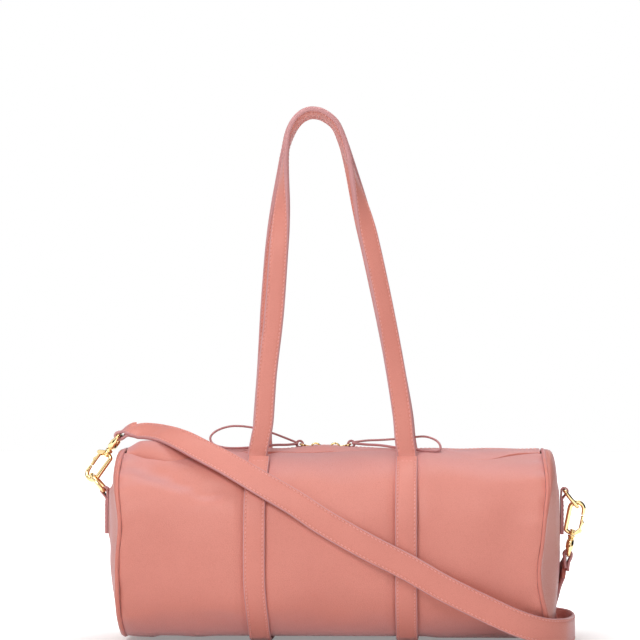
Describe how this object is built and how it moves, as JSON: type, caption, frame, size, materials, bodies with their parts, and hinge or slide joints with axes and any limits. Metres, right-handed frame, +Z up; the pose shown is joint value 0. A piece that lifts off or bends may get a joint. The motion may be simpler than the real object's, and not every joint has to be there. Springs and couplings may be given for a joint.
{
  "type": "mini duffel bag",
  "caption": "Small barrel-shaped leather bag with domed ends, a top zip with lace pulls, tall upright handles sewn to belt straps, and a long strap held by swivel snap hooks.",
  "frame": {"origin": "centre of the flat bottom that the bag stands on", "axes": "+Z up, +X to the bag's right end as seen from its front, +Y to its back"},
  "size_m": [0.3336, 0.177, 0.3555],
  "materials": {
    "leather": "soft pebbled grain, satin",
    "lining": "woven, matte",
    "zip_tape": "woven, matte",
    "gold": "polished gold plate"
  },
  "bodies": {
    "bag": {"barrel_panel": "leather", "lining_barrel": "lining", "end_panel_left": "leather", "end_panel_right": "leather", "lining_end_left": "lining", "lining_end_right": "lining", "piping_left": "leather", "piping_right": "leather", "zip_band_front": "leather", "zip_band_back": "leather", "zip_tape_front": "zip_tape", "zip_tape_back": "zip_tape", "zip_teeth_front": "gold", "zip_teeth_back": "gold", "belt_strap_left": "leather", "belt_strap_right": "leather", "ring_tab_left": "leather", "ring_tab_right": "leather", "strap_eye_left": "gold", "strap_eye_right": "gold", "strap_fold_left": "leather", "strap_fold_right": "leather", "crossbody_strap": "leather"},
    "slider_left": {"zip_slider_left": "gold"},
    "slider_right": {"zip_slider_right": "gold"},
    "pull_left": {"zip_pull_left": "gold", "lace_hitch_left": "leather", "lace_left": "leather"},
    "pull_right": {"zip_pull_right": "gold", "lace_hitch_right": "leather", "lace_right": "leather"},
    "front_handle": {"handle_front": "leather"},
    "back_handle": {"handle_back": "leather"},
    "ring_left": {"d_ring_left": "gold"},
    "ring_right": {"d_ring_right": "gold"},
    "hook_left": {"hook_body_left": "gold", "gate_pin_left": "gold"},
    "hook_right": {"hook_body_right": "gold", "gate_pin_right": "gold"},
    "gate_left": {"hook_gate_left": "gold"},
    "gate_right": {"hook_gate_right": "gold"}
  },
  "joints": [
    {"name": "zip_open_left", "type": "slide", "parent": "bag", "child": "slider_left", "axis": [-1, 0, 0], "range_m": [0, 0.1], "deforming": ["zip_teeth_front", "zip_teeth_back", "zip_tape_front", "zip_tape_back", "lace_left"]},
    {"name": "zip_open_right", "type": "slide", "parent": "bag", "child": "slider_right", "axis": [1, 0, 0], "range_m": [0, 0.1], "deforming": ["lace_right"]},
    {"name": "pull_turn_left", "type": "hinge", "parent": "slider_left", "child": "pull_left", "pos_m": [-0.0121, 0, 0.12675], "axis": [0, 1, 0], "range_deg": [0, 90]},
    {"name": "pull_turn_right", "type": "hinge", "parent": "slider_right", "child": "pull_right", "pos_m": [0.0007, 0, 0.12675], "axis": [0, -1, 0], "range_deg": [0, 90]},
    {"name": "handle_fall_front", "type": "hinge", "parent": "bag", "child": "front_handle", "pos_m": [0, -0.03089, 0.12306], "axis": [1, 0, 0], "range_deg": [0, 80]},
    {"name": "handle_fall_back", "type": "hinge", "parent": "bag", "child": "back_handle", "pos_m": [0, 0.03089, 0.12306], "axis": [-1, 0, 0], "range_deg": [0, 80]},
    {"name": "ring_turn_left", "type": "hinge", "parent": "bag", "child": "ring_left", "pos_m": [-0.15288, 0, 0.0985], "axis": [0, 1, 0], "range_deg": [0, 8]},
    {"name": "ring_turn_right", "type": "hinge", "parent": "bag", "child": "ring_right", "pos_m": [0.15288, 0, 0.0985], "axis": [0, 1, 0], "range_deg": [0, 5]},
    {"name": "hook_swivel_left", "type": "hinge", "parent": "bag", "child": "hook_left", "pos_m": [-0.15074, 0, 0.124], "axis": [-0.585, 0, -0.8111], "range_deg": [-45, 5]},
    {"name": "hook_swivel_right", "type": "hinge", "parent": "bag", "child": "hook_right", "pos_m": [0.15754, 0, 0.06956], "axis": [0.1994, 0, 0.9799], "range_deg": [-20, 20]},
    {"name": "gate_open_left", "type": "hinge", "parent": "hook_left", "child": "gate_left", "pos_m": [-0.15614, 0.00216, 0.12346], "axis": [-0.3808, -0.8829, 0.2746], "range_deg": [0, 25], "stiffness_Nm_per_rad": 0.02, "springref_deg": -17.19},
    {"name": "gate_open_right", "type": "hinge", "parent": "hook_right", "child": "gate_right", "pos_m": [0.16277, 0, 0.07217], "axis": [0, -1, 0], "range_deg": [0, 25], "stiffness_Nm_per_rad": 0.02, "springref_deg": -17.19}
  ]
}
